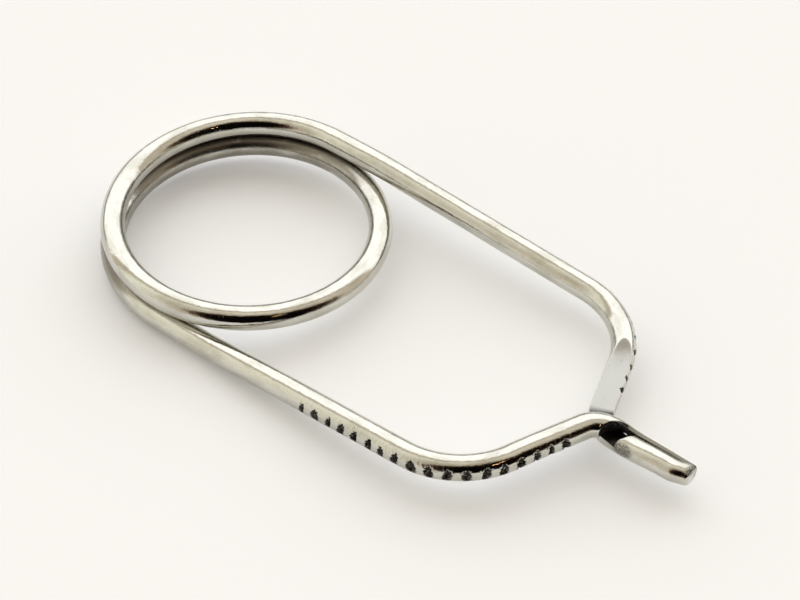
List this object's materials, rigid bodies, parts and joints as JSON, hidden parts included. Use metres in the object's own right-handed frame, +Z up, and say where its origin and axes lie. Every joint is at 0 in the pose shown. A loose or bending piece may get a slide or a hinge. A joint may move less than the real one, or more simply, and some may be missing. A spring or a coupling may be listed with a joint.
{
  "type": "hackle pliers",
  "caption": "Small spring clip bent from round wire, with a finger coil, notched legs and crossed half-lap jaws that open when the legs are pressed together.",
  "frame": {"origin": "middle of the underside of the bounding box; the coil's axis is upright at x = -15.125 mm and the coil's mid height is z = 2.575 mm", "axes": "+X from the coil to the tip of the jaws, +Z up along the coil's axis, +Y to the left leg"},
  "size_m": [0.0544, 0.0242, 0.0052],
  "materials": {
    "nickel_plate": "bright nickel plate on drawn spring wire, faintly warm, fine pits and draw lines",
    "ground_nickel": "bright nickel plate over ground flats, fine cross scratches and pits"
  },
  "bodies": {
    "coil": {"coil_ring": "nickel_plate"},
    "right_side": {"right_leg": "nickel_plate", "right_jaw": "ground_nickel"},
    "left_side": {"left_leg": "nickel_plate", "left_jaw": "ground_nickel"}
  },
  "joints": [
    {"name": "right_squeeze", "type": "hinge", "parent": "coil", "child": "right_side", "pos_m": [-0.01512, 0, 0.00258], "axis": [0, 0, 1], "range_deg": [0, 4], "stiffness_Nm_per_rad": 3},
    {"name": "left_squeeze", "type": "hinge", "parent": "coil", "child": "left_side", "pos_m": [-0.01512, 0, 0.00258], "axis": [0, 0, -1], "range_deg": [0, 4], "stiffness_Nm_per_rad": 3}
  ],
  "couplings": [
    {"joint": "left_squeeze", "follows": "right_squeeze", "ratio": 1}
  ]
}
